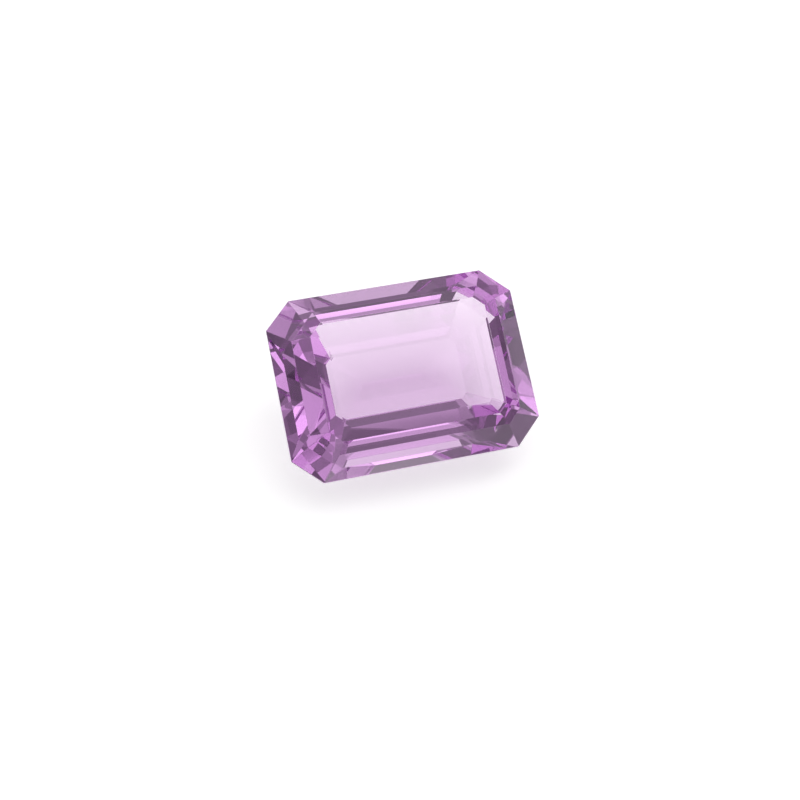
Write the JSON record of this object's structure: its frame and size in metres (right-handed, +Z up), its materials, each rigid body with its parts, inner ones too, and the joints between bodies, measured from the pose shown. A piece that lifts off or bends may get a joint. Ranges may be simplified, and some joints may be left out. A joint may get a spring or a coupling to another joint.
{
  "type": "step cut amethyst",
  "caption": "Clear violet quartz gemstone in an oblong octagonal step cut, lying tilted on one long side of its pavilion.",
  "frame": {"origin": "on the ground plane under the middle of the stone's box", "axes": "+X along the stone's long axis, +Z up, the table facing up and towards -Y"},
  "size_m": [0.018, 0.0122, 0.0089],
  "materials": {
    "amethyst": "polished clear violet quartz"
  },
  "bodies": {
    "root": {"stone": "amethyst"}
  },
  "joints": []
}
